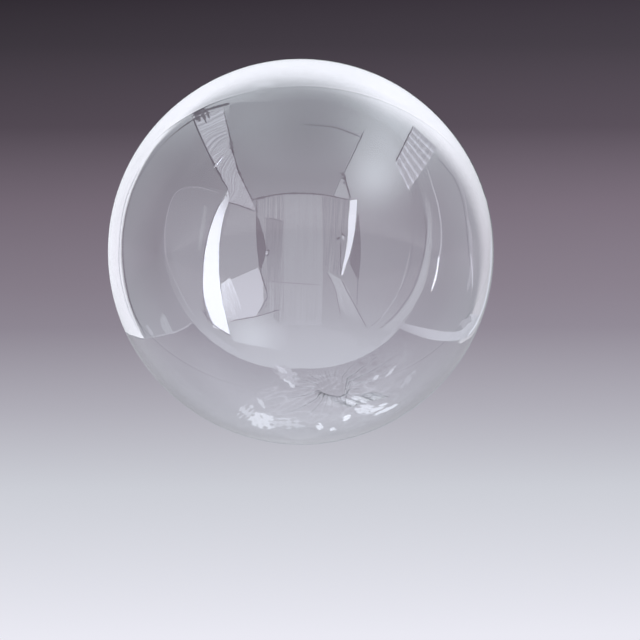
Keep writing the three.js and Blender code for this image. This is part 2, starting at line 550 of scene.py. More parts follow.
def floorMaterial():
    # A glow that paints the floor's light and its falloff. The log of the distance behind the start picks
    # its tone, it dims in front of the start, and far off it is painted brighter on the right, by the slope
    # from the camera's place.
    f = floorLook
    material, node, _ = emptyMaterial("floor")
    parts = node("SeparateXYZ", None, node("TexCoord").outputs["Object"])
    x, y = parts.outputs["X"], parts.outputs["Y"]

    def number(operation, *values):
        return node("Math", operation, *values).outputs[0]

    away = number("MAXIMUM", number("SUBTRACT", y, f["start"]), f["nearest"])
    logged = number("LOGARITHM", number("DIVIDE", away, f["nearest"]), f["farthest"] / f["nearest"])
    ramp = node("ValToRGB", None, logged)
    stops = ramp.color_ramp.elements
    while len(stops) < len(f["tones"]):
        stops.new(0.5)
    scale = math.log(f["farthest"] / f["nearest"])
    for stop, (behind, colour) in zip(stops, f["tones"]):
        stop.position = math.log((behind - f["start"]) / f["nearest"]) / scale
        stop.color = linear(colour)
    front = number("DIVIDE", number("SUBTRACT", f["start"], y), f["frontReach"])
    front = number("MINIMUM", number("MAXIMUM", front, 0.0), 1.0)
    front = number("MULTIPLY_ADD", front, f["frontTone"] / f["startTone"] - 1, 1.0)
    fromCamera = number("MAXIMUM", number("ADD", y, cameraSetup["distance"]), f["asideFrom"])
    aside = number("MINIMUM", number("DIVIDE", x, fromCamera), f["asideMost"])
    aside = number("MAXIMUM", aside, -f["asideMost"])
    far = number("MAXIMUM", number("SUBTRACT", logged, f["lightFrom"]), 0.0)
    far = number("MULTIPLY", far, f["lightSide"] / f["lightReach"])
    strength = number("MULTIPLY", front, number("MULTIPLY_ADD", aside, far, 1.0))
    glow = node("Emission", None, ramp.outputs["Color"], strength)
    node("OutputMaterial", None, glow.outputs[0])
    return material


def makeFloor():
    # A round disc under the film, wide enough that its far edge is the horizon.
    f = floorLook
    turns = np.linspace(0, 2 * np.pi, f["sides"], endpoint=False)
    ring = np.stack([np.cos(turns), np.sin(turns), 0 * turns], -1) * f["radius"]
    ring[:, 2] = -f["drop"]
    mesh = bpy.data.meshes.new("floor")
    mesh.from_pydata(ring.tolist(), [], [list(range(f["sides"]))])
    mesh.materials.append(floorMaterial())
    floor = bpy.data.objects.new("floor", mesh)
    scene.collection.objects.link(floor)
    # the film's outer face mirrors the sheets below instead of the floor
    floor.visible_glossy = False
    print("floor laid")


# The sky: brighter in front of the balloon than low behind it, and brightest high up. Low down
# behind, it is as dark as the floor's far end.
skyLook = {
    "front": 0.45,
    "ceiling": 0.4,
    "ceilingFrom": 0.80,
    "ceilingTo": 0.90,
    "behind": 0.4,
    "behindLow": 0.06,
    "behindFrom": 0.0,
    "behindTo": 0.5,
    "highFrom": 0.45,
    "highTo": 0.75,
    "highRise": 2.2,
    "below": 0.5,
    "belowFrom": 0.03,
    "belowTo": 0.3,
    "tint": (0.94, 1.0, 1.1),
    "edge": 0.012,
}


def makeSky():
    # A plain soft sky in two halves. The front one is brighter, with a brighter ceiling, and the
    # one behind goes from dark low down to bright high up. Under the floor's level it is even.
    k = skyLook
    world = bpy.data.worlds.new("sky")
    world.use_nodes = True
    scene.world = world
    node, span = nodeTools(world.node_tree)
    parts = node("SeparateXYZ", None, node("TexCoord").outputs["Generated"])
    y, z = parts.outputs["Y"], parts.outputs["Z"]
    ceiling = span(z, k["ceilingFrom"], k["ceilingTo"], k["front"], k["front"] + k["ceiling"])
    behind = span(z, k["behindFrom"], k["behindTo"], k["behindLow"], k["behind"])
    high = span(z, k["highFrom"], k["highTo"], 1.0, k["highRise"])
    lifted = node("Math", "MULTIPLY", behind, high).outputs[0]
    inFront = span(y, -k["edge"], k["edge"], 1, 0)
    light = node("Mix", None, inFront, None, lifted, ceiling).outputs[0]
    below = span(z, -k["belowTo"], -k["belowFrom"], 1, 0)
    light = node("Mix", None, below, None, light, k["below"]).outputs[0]
    fill(world.node_tree.nodes["Background"], (*k["tint"], 1), light)
    print("sky set")


# What the front of the ball mirrors. Each sheet is given by where it shows in the picture, in
# pixels, and is stood out in the room where the ball would show it there. Its light is given by
# what it adds to the picture, as linear light.

def smoothLine(points, share):
    # A smooth curve through a few points: each stretch is a cubic whose ends follow its neighbours.
    p = np.array(points, float)
    if len(p) == 2:
        return p[0] + (p[1] - p[0]) * share[:, None]
    p = np.concatenate([2 * p[:1] - p[1:2], p, 2 * p[-1:] - p[-2:-1]])
    spot = share * (len(points) - 1)
    i = np.minimum(spot.astype(int), len(points) - 2)
    u = (spot - i)[:, None]
    a, b, c, d = p[i], p[i + 1], p[i + 2], p[i + 3]
    return 0.5 * (2 * b + (c - a) * u + (2 * a - 5 * b + 4 * c - d) * u**2 + (3 * b - a - 3 * c + d) * u**3)


def gridMesh(name, points):
    # A sheet from a grid of points, with its two parameters from 0 to 1 kept as a UV map.
    rows, columns = points.shape[:2]
    r = np.arange(rows - 1)[:, None] * columns
    c = np.arange(columns - 1)[None, :]
    quads = np.stack([r + c, r + c + 1, r + columns + c + 1, r + columns + c], -1).reshape(-1, 4)
    mesh = bpy.data.meshes.new(name)
    mesh.from_pydata(points.reshape(-1, 3).tolist(), [], quads.tolist())
    u, v = np.meshgrid(np.linspace(0, 1, columns), np.linspace(0, 1, rows))
    uv = np.stack([u, v], -1).reshape(-1, 2)[quads.reshape(-1)]
    mesh.uv_layers.new(name="sheet").data.foreach_set("uv", uv.astype(np.float32).ravel())
    sheet = bpy.data.objects.new(name, mesh)
    scene.collection.objects.link(sheet)
    return sheet


# How fine the threads and streaks on those sheets are, and how sharply they stand out.
sheetLook = {
    "threadDetail": 2.0,
    "threadRange": (0.35, 0.65),
    "streakDetail": 3.0,
    "streakRange": (0.3, 0.7),
    "streakScale": (26, 1.5, 1),
}


def glowMaterial(name, slats=0, threads=0, tilt=(0, 0), gap=0.3, bright=(0.0, 0.55), streaks=0.0,
                 covered=False, tint=skyLook["tint"]):
    # A glow that follows the sheet's own glow attribute, with slats that grow from dull to bright
    # or uneven threads across it, tilted more the lower they lie, fine streaks along it, and
    # see-through where its cover attribute is low.
    k = sheetLook
    material, node, span = emptyMaterial(name)

    def own(attribute):
        made = node("Attribute")
        made.attribute_name = attribute
        return made.outputs["Fac"]

    place = node("UVMap")
    place.uv_map = "sheet"
    parts = node("SeparateXYZ", None, place.outputs[0])
    along = parts.outputs["Y"]
    strength = own("glow")
    if slats or threads:
        slope = node("Math", "MULTIPLY_ADD", along, tilt[1], tilt[0]).outputs[0]
        leaned = node("Math", "MULTIPLY_ADD", parts.outputs["X"], slope, along).outputs[0]
        counted = node("Math", "MULTIPLY", leaned, slats or threads).outputs[0]
        if slats:
            band = span(node("Math", "FRACT", counted).outputs[0], *bright, gap, 1.0)
        else:
            cloud = node("TexNoise")
            cloud.noise_dimensions = "1D"
            fill(cloud, None, counted, 1.0, k["threadDetail"])
            band = span(cloud.outputs["Fac"], *k["threadRange"], gap, 2 - gap)
        strength = node("Math", "MULTIPLY", strength, band).outputs[0]
    if streaks:
        stretched = node("Mapping", None, place.outputs[0], None, None, k["streakScale"])
        cloud = node("TexNoise", None, stretched.outputs[0], None, 1.0, k["streakDetail"])
        rough = span(cloud.outputs["Fac"], *k["streakRange"], 1 - streaks, 1 + streaks, eased=False)
        strength = node("Math", "MULTIPLY", strength, rough).outputs[0]
    surface = node("Emission", None, (*tint, 1), strength).outputs[0]
    if covered:
        clear = node("BsdfTransparent")
        surface = node("MixShader", None, own("cover"), clear.outputs[0], surface).outputs[0]
    node("OutputMaterial", None, surface)
    return material


def reflectionsOnly(thing):
    # The thing shows in the film's reflections and is unseen by itself. It throws no shadow.
    thing.visible_camera = False
    thing.visible_diffuse = False
    thing.visible_shadow = False
    thing.visible_transmission = False


def flatRipples(pixels, waveLength, turn, stretch, seed):
    # The ripples in the picture's plane, with the waves drawn out along one direction.
    a = np.radians(turn)
    along = pixels[..., 0] * np.cos(a) - pixels[..., 1] * np.sin(a)
    across = pixels[..., 0] * np.sin(a) + pixels[..., 1] * np.cos(a)
    return ripples(np.stack([along / stretch, across, 0 * along], -1), waveLength, count=9, seed=seed)


def discPixels(out, angle):
    # the picture's points at shares of the ball's radius and at clock angles from its right side
    turn = np.radians(angle)
    return discMiddle + cameraSetup["ballRadius"] * np.stack([out * np.cos(turn), -out * np.sin(turn)], -1)


def setValues(sheet, name, values):
    # one number for each point of a sheet, under a name that its material reads
    attribute = sheet.data.attributes.new(name, "FLOAT", "POINT")
    attribute.data.foreach_set("value", values.astype(np.float32).ravel())


def standPane(name, pixels, distance, shown, cover=None, **look):
    # One sheet of light that only the front of the film mirrors, where the ball shows it at some
    # pixels. It is as bright as it takes to add what is shown there.
    sheet = gridMesh(name, mirrored(pixels, distance))
    setValues(sheet, "glow", shown / mirrorShare(pixels))
    if cover is not None:
        setValues(sheet, "cover", cover)
    sheet.data.materials.append(glowMaterial(name, covered=cover is not None, **look))
    reflectionsOnly(sheet)


# The room in front: a soft wall that fills the circle in the middle of the ball and runs up
# between the blinds, with panes and thin edges of light and shade nearer by.
roomLook = {
    "distance": 1.80,
    "paneDistance": 1.76,
    "paneGap": 0.004,        # how much nearer each pane stands than the one before it
    "edgeDistance": 1.64,
    "edgeGap": 0.003,
    "roughLength": 4.0,      # length of the waves that make a rough edge ragged, in pixels
    # the circle's edge by the clock angle, as a share of the ball's radius
    "angles": (0, 20, 34, 50, 75, 95, 104, 115.6, 120.5, 124.3, 128.8,
               136.3, 140.2, 147.4, 152.3, 158, 180, 225, 270, 315, 360),
    "edge": (.675, .68, .72, .80, .78, .78, .80, .85, .717, .572, .44,
             .323, .487, .617, .70, .715, .712, .655, .603, .645, .675),
    # what the wall adds, and the picture's columns and rows between which it changes
    "wall": 0.120,
    "rightWall": 0.090,
    "rightColumns": (340, 430),
    "upper": 0.105,
    "upperRows": (170, 225),
    "high": 0.122,
    "highRows": (100, 150),
    "low": 0.160,
    "lowRows": (292, 345),
    # soft pools of light on the wall and ceiling: middle, spread and what they add there
    "glows": [((391, 131), 44, 0.21), ((255, 125), 38, 0.05)],
    "tint": (0.92, 1.02, 1.08),
    "dimUnder": 0.25,        # panes that add less than this have the wall's tint
}

# Panes of light and shade in that room, each between two edges in the picture, with what it adds
# from its top down. One with a middle adds a soft spot there to what the wall adds.
panes = {
    "lamp": {
        "left": [(364, 131), (344, 173), (351, 200), (360, 240)],
        "right": [(385, 131), (408, 165), (412, 200), (402, 240)],
        "shown": 0.23,
        "middle": (373, 177),
        "spread": 28,
    },
    "leftStrip": {
        "left": [(228, 190), (216, 212), (207.5, 238), (203, 270), (204, 298), (213.5, 328)],
        "right": [(229, 200), (223, 220), (219.5, 243), (219.5, 267), (221.5, 295), (230, 335)],
        "shown": (0.34, 0.68, 0.76, 0.77, 0.75, 0.70),
        "streaks": 0.07,
    },
    "rightStrip": {
        "left": [(345.5, 201), (348, 224), (347, 246), (341.5, 276)],
        "right": [(357, 199.5), (356, 221), (352.3, 246), (343, 276)],
        "shown": 0.58,
    },
    "leftBlind": {
        "left": [(192, 116), (197, 131), (207, 154), (214.5, 167), (228, 190), (228.6, 202.4)],
        "right": [(223, 107), (228.5, 132), (232, 148), (238.4, 171), (248, 192), (256, 210)],
        "shown": (0.30, 0.27, 0.25, 0.25, 0.24, 0.22),
        "threads": 38,
        "tilt": (0.08, 0.45),
        "gap": 0.72,
    },
    "rightBlind": {
        "left": [(413, 125), (404, 142), (395, 161)],
        "right": [(437, 147), (424, 168), (409, 190)],
        "shown": (0.46, 0.41, 0.41),
        "slats": 7,
        "bright": (0.5, 0.95),
        "gap": 0.6,
        "streaks": 0.3,
    },
    "leftPane": {
        "left": [(231, 204), (223, 235), (219, 262), (220, 286)],
        "right": [(256, 211), (257, 240), (261, 268), (268, 296)],
        "shown": 0.145,
    },
    "lowerLeftGlow": {
        "left": [(222, 284), (222, 300), (228, 323)],
        "right": [(258, 268), (266, 290), (257, 318)],
        "shown": 0.32,
    },
    "lowerLeftBlind": {
        "left": [(221, 285), (223, 303), (228, 320)],
        "right": [(230, 278), (236, 292), (242, 309)],
        "shown": (0.52, 0.42, 0.34),
        "streaks": 0.3,
    },
    # a painted soft spot of light in the mirrored room
    "lowGlowSpot": {
        "left": [(227, 323), (229, 332), (233, 342)],
        "right": [(288, 309), (288, 325), (288, 352)],
        "shown": 0.15,
        "middle": (249, 333),
        "spread": 25,
    },
    "curtainLeft": {
        "left": [(258, 198), (258, 240), (262, 268), (264, 310)],
        "right": [(284, 194), (284, 240), (284, 282), (281, 325)],
        "shown": 0.142,
        "streaks": 0.5,
    },
    "curtainMiddle": {
        "left": [(284, 194), (284, 240), (284, 282), (284, 325)],
        "right": [(322, 195), (323, 240), (323, 282), (322, 325)],
        "shown": 0.17,
        "streaks": 0.08,
    },
    "curtainRight": {
        "left": [(322, 195), (323, 235), (323, 270)],
        "right": [(350, 200), (347, 235), (341, 276)],
        "shown": 0.118,
        "streaks": 0.45,
    },
    "sash": {
        "left": [(266, 218), (266, 250), (268, 281)],
        "right": [(283.5, 221), (282, 250), (279, 281)],
        "shown": (0.09, 0.10, 0.13),
        "streaks": 0.3,
    },
    "leftShade": {
        "left": [(257, 218), (257, 245), (260, 268)],
        "right": [(259, 218), (266, 247), (262, 268)],
        "shown": 0.0,
    },
    "rightShade": {
        "left": [(358, 215), (352, 252), (350, 262), (358, 280)],
        "right": [(359, 215), (361, 240), (361, 260), (359, 280)],
        "shown": 0.02,
    },
    "rightLow": {
        "left": [(328, 272), (336, 290), (343, 311), (364, 327)],
        "right": [(343, 280), (352, 297), (359, 312), (366, 328)],
        "shown": (0.22, 0.21, 0.17, 0.13),
        "streaks": 0.3,
    },
    "peak": {
        "left": [(343, 174), (338, 185), (333, 196)],
        "right": [(344, 174), (348, 187), (351, 199)],
        "shown": 0.21,
    },
    "rightBow": {
        "left": [(421, 187), (426, 204), (428, 229), (425, 256), (415, 289), (400, 312), (382, 329)],
        "right": [(422.5, 187), (430, 204), (432.5, 229), (431, 256), (425, 285), (411, 311), (392, 332)],
        "shown": (0.13, 0.18, 0.20, 0.20, 0.20, 0.19, 0.18),
        "streaks": 0.12,
    },
    "rightBand": {
        "left": [(398, 321), (412, 325), (440, 331), (458, 331.5), (466, 326), (471, 314)],
        "right": [(400, 328), (422, 337), (438, 340.5), (458, 340.5), (472, 334), (481, 316)],
        "shown": (0.13, 0.26, 0.34, 0.40),
    },
    "leftFinger": {
        "left": [(161.7, 313.5), (159.8, 321.5), (162, 329), (166, 334)],
        "right": [(162.3, 313.5), (166.3, 319), (171.5, 330), (173.5, 333)],
        "shown": 0.18,
    },
    "stripHaze": {
        "left": [(203.5, 206), (200, 228), (197, 250)],
        "right": [(207, 206), (204, 228), (200.5, 250)],
        "shown": 0.165,
    },
}

# Thin frames, cords and edges in that room, each a line in the picture with its width there,
# what it adds, and how ragged its sides are.
edges = {
    "blindTop": {"line": [(191, 116), (206, 109.5), (229.5, 102.5)], "width": 2.8, "shown": 0, "rough": 0.4},
    "blindCrumbs": {"line": [(193.5, 120), (199, 116.5), (209, 112.5)], "width": 6, "shown": 0.02,
                    "rough": 1.0},
    "blindSide": {"line": [(192, 116), (201, 138), (213, 163), (228, 190)], "width": 1.8, "shown": 0},
    "blindFarSide": {"line": [(223, 108), (228.6, 132), (232, 149), (238.4, 171), (253, 201)], "width": 1.3,
                     "shown": 0, "rough": 0.9},
    "blindKnots": {"line": [(227, 130), (230, 137), (231.5, 149)], "width": 3.0, "shown": 0.04, "rough": 1.2},
    "blindGleam": {"line": [(214, 167), (223, 156)], "width": 1.2, "shown": 0.62},
    "blindGleamHigh": {"line": [(211, 158), (224, 148)], "width": 0.7, "shown": 0.42},
    "blindGleamFar": {"line": [(221, 154), (230, 146)], "width": 0.6, "shown": 0.42},
    "leftPaneTop": {"line": [(228.6, 202.4), (241, 206), (254, 211)], "width": 1.1, "shown": 0},
    "curtainRail": {"line": [(252, 200), (283, 194), (318, 194), (351, 200)], "width": 1.5, "shown": 0.02,
                    "rough": 0.6},
    "ceilingLine": {"line": [(300, 124), (330, 126), (345, 130), (361, 136)], "width": 1.5, "shown": 0.07},
    "leftBar": {"line": [(257, 200), (257, 235), (260, 268), (268, 296)], "width": 1.1, "shown": 0},
    "leftFoot": {"line": [(268, 296), (262, 307), (255, 318)], "width": 0.8, "shown": 0},
    "lowSill": {"line": [(226, 322), (255, 317), (281, 309)], "width": 0.8, "shown": 0},
    "stripFoot": {"line": [(201, 309), (213, 325), (230, 336)], "width": 1.0, "shown": 0},
    "stripSide": {"line": [(228, 193), (214, 215), (204, 255), (203, 298), (208, 322)], "width": 0.8,
                  "shown": 0},
    "peakCord": {"line": [(364, 131), (355, 150), (344, 173)], "width": 0.9, "shown": 0},
    "peakKnot": {"line": [(339, 172), (343.5, 175), (344, 184)], "width": 2.4, "shown": 0.03, "rough": 1.0},
    "latchLeft": {"line": [(266, 247), (269, 252), (267, 256)], "width": 1.6, "shown": 0.0, "rough": 0.8},
    "latchLeftGleam": {"line": [(266, 251), (267, 254.5)], "width": 1.2, "shown": 0.4},
    "latchRight": {"line": [(337, 240), (340, 237), (344, 234)], "width": 3.2, "shown": 0.0, "rough": 1.0},
    "latchRightGleam": {"line": [(343, 235), (344, 240)], "width": 1.2, "shown": 0.45},
    "peakSide": {"line": [(344, 173), (347, 186), (351, 200)], "width": 1.5, "shown": 0},
    "peakBack": {"line": [(343, 174), (338, 185), (333, 196)], "width": 0.6, "shown": 0.05},
    "rightBar": {"line": [(341, 242), (341, 260), (341, 277)], "width": 0.9, "shown": 0},
    "rightFoot": {"line": [(342, 280), (355, 305), (368, 329)], "width": 0.9, "shown": 0},
    "rightReturn": {"line": [(368, 329), (388, 310), (403, 285), (411, 262), (414, 222)], "width": 0.8,
                    "shown": 0.06},
    "rightLowSide": {"line": [(327, 272), (336, 290), (341, 318)], "width": 0.7, "shown": 0.05},
    "rightShadeSide": {"line": [(358, 275), (358, 290), (357, 306)], "width": 0.8, "shown": 0.04},
    "rightBlindSide": {"line": [(413, 126), (404, 144), (395, 162)], "width": 1.1, "shown": 0},
    "sashLeft": {"line": [(264, 218), (274, 219), (284, 222)], "width": 0.8, "shown": 0.05},
    "sashLow": {"line": [(263, 281), (290, 283), (320, 285)], "width": 0.7, "shown": 0.09},
    "rightBowSide": {"line": [(424, 212), (426.5, 232), (423.5, 257), (413.5, 288), (398, 312), (380, 329)],
                     "width": 1.0, "shown": 0.03},
    "innerArc": {"line": [(410.7, 251), (403.6, 279.5), (394, 301), (380, 320)], "width": 0.9, "shown": 0.19},
    "farArc": {"line": [(439, 154), (458, 178), (467, 206), (471, 242), (474, 265), (472, 296)], "width": 0.9,
               "shown": 0.25},
    "farArcShade": {"line": [(437, 156), (455.5, 180), (464.5, 207), (468.5, 242), (470.5, 265)],
                    "width": 0.8, "shown": 0.10},
    "rightGleam": {"line": [(427.5, 168), (439, 208), (442, 237), (439, 262), (432, 291)], "width": 1.4,
                   "shown": 0.27},
    "rightSpark": {"line": [(439.2, 257), (437, 274), (431.8, 291.6)], "width": 1.6, "shown": 0.80},
    "farGleam": {"line": [(468, 215), (472, 240), (472, 268), (468, 292)], "width": 2.4, "shown": 0.24},
    "roomLeft": {"line": [(219, 193), (196, 187), (177, 191), (168, 209), (163.8, 237), (167.5, 264),
                          (186.5, 305), (199, 322)], "width": 1.0, "shown": 0.19},
    "leftTable": {"line": [(146, 338.5), (161.5, 335.4), (173.8, 333), (186, 327.7), (192, 323)],
                  "width": 1.4, "shown": 0.19},
    "leftFingerLow": {"line": [(146, 325), (149, 330), (152, 335)], "width": 2.6, "shown": 0.22,
                      "rough": 0.3},
    # painted lines of light and shade along the rim, which the front of the film mirrors; the crease one is a
    # painted bright line
    "rimLine": {"line": [(214, 110), (190, 121), (160, 146), (136, 182), (124, 222), (122.5, 260),
                         (130, 303), (145, 336)],
                "width": 1.3, "shown": (0, 0, 0.14, 0.09, 0.08, 0.07, 0, 0.03)},
    "rimCreaseGleam": {"line": [(139, 167), (125, 200), (119, 236), (119, 272), (127, 306), (139, 333)],
                  "width": 0.9, "shown": 0.40},
    "farSpark": {"line": [(471.3, 254), (473, 270), (473.3, 287)], "width": 1.3, "shown": 0.38},
    "rimEdge": {"line": [(468.5, 336), (476.5, 324.5), (484, 306.5), (489.3, 284), (491.7, 262), (492, 235)],
                "width": 1.6, "shown": 0.62},
}


def poolsShown(pixels):
    # what the pools of light add: each is its strength times exp(-(distance / spread) squared)
    shown = 0.0
    for middle, spread, strength in roomLook["glows"]:
        away = np.linalg.norm(pixels - np.array(middle), axis=-1) / spread
        shown = shown + strength * np.exp(-away**2)
    return shown


def wallShown(pixels):
    # what the room's wall adds: less at its right and high up, more low down
    r = roomLook
    column, row = pixels[..., 0], pixels[..., 1]
    side = mix(r["wall"], r["rightWall"], smoothstep(column, *r["rightColumns"]))
    shown = mix(r["upper"], side, smoothstep(row, *r["upperRows"]))
    shown = mix(r["high"], shown, smoothstep(row, *r["highRows"]))
    return mix(shown, r["low"], smoothstep(row, *r["lowRows"])) + poolsShown(pixels)


def stepped(values, along):
    # one value, or several spread evenly from the start to the end, as a column
    values = np.atleast_1d(values)
    return np.interp(along, np.linspace(0, 1, len(values)), values)[:, None]


def makeRoom():
    # The wall of light in front, drawn from its middle out to its edge.
    angle = np.linspace(0, 360, 361)
    edge = np.interp(angle, roomLook["angles"], roomLook["edge"])
    pixels = discPixels(np.linspace(0.0, 1.0, 31)[:, None] * edge, angle)
    standPane("room", pixels, roomLook["distance"], wallShown(pixels), tint=roomLook["tint"])
    print("room set")


def makePanes():
    # The panes, a little nearer than the wall: each is spread evenly between its two edges.
    r = roomLook
    across = np.linspace(0, 1, 9)
    along = np.linspace(0, 1, 33)
    lookKeys = ("slats", "gap", "bright", "tilt", "threads", "streaks")
    for i, (name, pane) in enumerate(panes.items()):
        left = smoothLine(pane["left"], along)[:, None, :]
        right = smoothLine(pane["right"], along)[:, None, :]
        pixels = mix(left, right, across[None, :, None])
        shown = stepped(pane["shown"], along) + 0 * pixels[..., 0]
        if "middle" in pane:
            away = np.linalg.norm(pixels - np.array(pane["middle"]), axis=-1) / pane["spread"]
            shown = wallShown(pixels) + pane["shown"] * np.exp(-away**2)
        look = {key: pane[key] for key in lookKeys if key in pane}
        if np.max(pane["shown"]) < r["dimUnder"]:
            look["tint"] = r["tint"]
        standPane(name, pixels, r["paneDistance"] - r["paneGap"] * i, shown, **look)
    print("panes set:", len(panes))


def makeEdges():
    # The thin edges, nearest of all: ribbons that taper at both ends, with ragged sides if rough.
    r = roomLook
    along = np.linspace(0, 1, 65)
    taper = np.minimum(1, 8 * np.minimum(along, 1 - along) + 0.25)[:, None]
    for i, (name, edge) in enumerate(edges.items()):
        line = smoothLine(edge["line"], along)
        way = unit(np.gradient(line, axis=0))
        beside = np.stack([-way[:, 1], way[:, 0]], -1) * edge["width"] / 2
        ragged = np.maximum(flatRipples(line, r["roughLength"], 0, 1, 50 + i), -0.9)
        beside = beside * taper * (1 + edge.get("rough", 0.0) * ragged)[:, None]
        ribbon = np.stack([line - beside, line, line + beside], 1)
        shown = stepped(edge["shown"], along)
        standPane(name, ribbon, r["edgeDistance"] - r["edgeGap"] * i, shown)
    print("edges set:", len(edges))


# Where the table's edge shows low on the ball's two sides: clock angles from its right side, at
# shares of its radius. The halo and the ceiling end there, and the paper begins.
tableEdge = {
    "out": (.30, .657, .778, .855, .941, .987, 1.0),
    "right": (-40, -37.8, -35.2, -33, -29.7, -26.6, -23.5),
    "left": (218, 214.2, 213.0, 211.2, 208.8, 205.9, 204.5),
}


def tableSides(out):
    # the clock angles of the table's edge at shares of the radius, on the right and on the left
    return (np.interp(out, tableEdge["out"], tableEdge[side]) for side in ("right", "left"))


def overTable(out, count):
    # clock angles at shares of the radius, from the table's edge on the right over to the left
    right, left = tableSides(out)
    return mix(right[:, None], left[:, None], np.linspace(0, 1, count))


# The rim of light: how far out from the ball's middle it begins and reaches its full strength, by
# the clock angle from the ball's right side, what it adds there, and a lift close to the outline.
haloLook = {
    "distance": 1.84,
    "tint": (0.97, 1.0, 1.07),
    "angles": (-35, -20, 0, 20, 40, 60, 80, 100, 120, 130, 145, 165, 190, 210),
    "begins": (.93, .94, .92, .885, .845, .805, .82, .85, .88, .90, .926, .926, .922, .922),
    "full": (.96, .955, .965, .975, .95, .945, .965, .97, .958, .94, .936, .94, .938, .932),
    "shown": (.42, .42, .44, .63, .82, .85, .80, .79, .80, .80, .76, .71, .68, .64),
    "usualBegin": 0.925,
    "usualFull": 0.94,
    "lift": 0.09,
    "liftFrom": 0.955,
    "liftTo": 0.995,
    # the clock angles over which the lift grows on the right and dies out on the left
    "liftRight": (0, 20),
    "liftLeft": (185, 205),
    "liftLow": 0.5,
}


def makeHalo():
    # The white rim: a band of light low behind the ball, from its inner edge out to the outline.
    # Shares from 0 to 1 run from where it begins to its full strength, and on to 2 at the outline.
    h = haloLook
    share = np.concatenate([np.linspace(0, 1, 9), 1 + np.linspace(0, 1, 15)[1:]])
    angle = overTable(np.interp(share, (0, 1, 2), (h["usualBegin"], h["usualFull"], 1.0)), 201)
    begins, full, shown = (np.interp(angle, h["angles"], h[key]) for key in ("begins", "full", "shown"))
    share = share[:, None]
    out = np.where(share < 1, mix(begins, full, share), mix(full, outermost, share - 1))
    cover = smoothstep(share, 0.0, 1.0) + 0 * out
    above = mix(h["liftLow"], 1.0, smoothstep(angle, *h["liftRight"]))
    above = above * (1 - smoothstep(angle, *h["liftLeft"]))
    shown = shown + h["lift"] * above * smoothstep(out, h["liftFrom"], h["liftTo"])
    standPane("halo", discPixels(out, angle), h["distance"], shown, cover, tint=h["tint"])
    print("halo set")


# The ceiling over and behind the ball, down to the table's edge on both sides.
ceilingLook = {
    "distance": 1.90,
    "inner": 0.3,
    "outer": 0.975,
    "left": 0.087,
    "right": 0.127,
    "rightFall": 0.05,
    "fallReach": 25,         # clock angle below level over which the right side falls
    "rightTo": 70,
    "leftFrom": 150,
    "rise": 0.42,
    "riseFrom": 0.76,
    "top": 0.125,
    "topRise": 1.3,
    "topFrom": 0.78,
    "topBegins": 0.5,        # sines of the clock angle between which the top takes over
    "topFull": 0.98,
}


def makeCeiling():
    # The ceiling: even light over and behind the ball, between the halo and the room, brighter
    # close to the outline and most of all at the top.
    k = ceilingLook
    share = np.linspace(k["inner"], k["outer"], 33)
    angle = overTable(share, 161)
    out = share[:, None] + 0 * angle
    side = mix(k["right"], k["left"], smoothstep(angle, k["rightTo"], k["leftFrom"]))
    side = side - k["rightFall"] * smoothstep(-angle, 0, k["fallReach"])
    side = side + k["rise"] * np.maximum(out - k["riseFrom"], 0)
    top = k["top"] + k["topRise"] * np.maximum(out - k["topFrom"], 0)
    overhead = smoothstep(np.sin(np.radians(angle)), k["topBegins"], k["topFull"])
    pixels = discPixels(out, angle)
    shown = mix(side, top, overhead) + poolsShown(pixels)
    standPane("ceiling", pixels, k["distance"], shown, tint=roomLook["tint"])
    print("ceiling set")


# A painted reflection of the paper in front and below, which the low part of the ball shows in the
# floor's place: its brightness at the left, at the right, in the middle and low down, and how much
# darker it is painted at the outline and on the inside.
paperLook = {
    "distance": 1.86,
    "inside": 0.66,
    "outside": 0.999,
    "left": 1.0,
    "right": 0.80,
    "middle": 0.56,
    "low": 0.55,
    "lowFrom": 350,          # rows of the picture
    "lowTo": 420,
    "leftFall": 0.5,
    "rightFall": 0.3,
    "middleFall": -0.2,
    "fallFrom": 0.94,
    "fallTo": 0.995,
    "inner": 0.2,
    "innerFrom": 0.62,
    "innerTo": 0.80,
    "tint": (0.98, 1.0, 1.08),
}


def makePaper():
    # The paper's painted reflection: from the room's low edge out to the outline, between the table's edges.
    p = paperLook
    share = np.linspace(0, 1, 81)
    spread = np.linspace(0, 1, 25)[:, None]
    right, left = tableSides(mix(p["inside"], p["outside"], spread))
    angle = mix(left, right + 360, share)
    out = mix(np.interp(angle, roomLook["angles"], roomLook["edge"]), p["outside"], spread)
    pixels = discPixels(out, angle)
    aside = np.abs(2 * share - 1)
    shine = mix(p["middle"], mix(p["left"], p["right"], share), aside**1.5)
    shine = mix(shine, p["low"], smoothstep(pixels[..., 1], p["lowFrom"], p["lowTo"]))
    shine = shine * mix(p["inner"], 1.0, smoothstep(out, p["innerFrom"], p["innerTo"]))
    fall = mix(p["middleFall"], mix(p["leftFall"], p["rightFall"], share), aside)
    shine = shine * (1 - fall * smoothstep(out, p["fallFrom"], p["fallTo"]))
    standPane("paper", pixels, p["distance"], shine * mirrorShare(pixels), tint=p["tint"])
    print("paper set")
